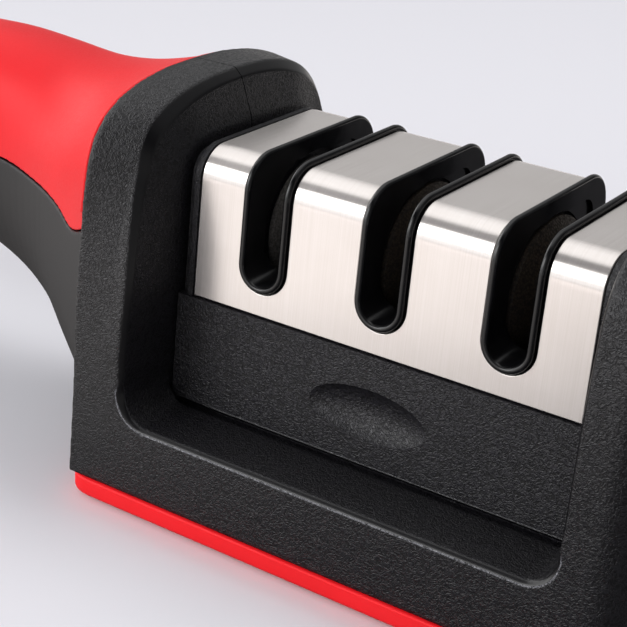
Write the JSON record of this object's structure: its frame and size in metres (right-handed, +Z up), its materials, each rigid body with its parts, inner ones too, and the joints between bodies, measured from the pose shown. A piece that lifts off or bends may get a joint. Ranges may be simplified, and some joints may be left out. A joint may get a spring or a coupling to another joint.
{
  "type": "pull-through knife sharpener",
  "caption": "Table-standing knife sharpener with knife slots in a steel-covered lift-out cartridge, a black two-post housing and a side handle with a red grip.",
  "frame": {"origin": "on the table, below the middle of the whole length, handle included, in the seam plane of the housing", "axes": "+X along the body from the handle to the far post, -Y the front, +Z up"},
  "size_m": [0.2204, 0.0698, 0.0684],
  "materials": {
    "black_grained_plastic": "fine leather grain",
    "black_liner_plastic": "satin",
    "red_plastic": "satin",
    "red_soft_plastic": "smooth satin",
    "brushed_steel": "brushed",
    "plain_steel": "plain",
    "ceramic": "ground ceramic",
    "diamond_grit": "gritty",
    "rubber": "matte"
  },
  "bodies": {
    "housing": {"front_shell": "black_grained_plastic", "rear_shell": "black_grained_plastic", "grip_cover": "red_soft_plastic", "handle_screw_1": "plain_steel", "handle_screw_2": "plain_steel", "base_trim": "red_plastic", "base_plate": "black_grained_plastic", "foot_1": "rubber", "foot_2": "rubber", "foot_3": "rubber", "foot_4": "rubber", "base_screw_1": "plain_steel", "base_screw_2": "plain_steel", "base_screw_3": "plain_steel", "base_screw_4": "plain_steel"},
    "cartridge": {"cartridge_case": "black_grained_plastic", "steel_cover": "brushed_steel", "cartridge_plate": "black_liner_plastic", "cartridge_screw_1": "plain_steel", "cartridge_screw_2": "plain_steel", "slot_liner_1": "black_liner_plastic", "slot_liner_2": "black_liner_plastic", "slot_liner_3": "black_liner_plastic", "wheel_spacer_1_left": "black_liner_plastic", "wheel_spacer_1_right": "black_liner_plastic", "wheel_spacer_2_left": "black_liner_plastic", "wheel_spacer_2_right": "black_liner_plastic", "wheel_spacer_3_left": "black_liner_plastic", "wheel_spacer_3_right": "black_liner_plastic", "wheel_axle": "plain_steel"},
    "stage_1_wheels": {"wheel_1_left": "ceramic", "wheel_1_right": "ceramic"},
    "stage_2_wheels": {"wheel_2_left": "diamond_grit", "wheel_2_right": "diamond_grit"},
    "stage_3_wheels": {"wheel_3_left": "diamond_grit", "wheel_3_right": "diamond_grit"}
  },
  "joints": [
    {"name": "cartridge_lift", "type": "slide", "parent": "housing", "child": "cartridge", "axis": [0, 0, 1], "range_m": [0, 0.055]},
    {"name": "stage_1_spin", "type": "hinge", "parent": "cartridge", "child": "stage_1_wheels", "pos_m": [0.03794, 0, 0.045], "axis": [1, 0, 0], "continuous": true},
    {"name": "stage_2_spin", "type": "hinge", "parent": "cartridge", "child": "stage_2_wheels", "pos_m": [0.05994, 0, 0.045], "axis": [1, 0, 0], "continuous": true},
    {"name": "stage_3_spin", "type": "hinge", "parent": "cartridge", "child": "stage_3_wheels", "pos_m": [0.08195, 0, 0.045], "axis": [1, 0, 0], "continuous": true}
  ]
}
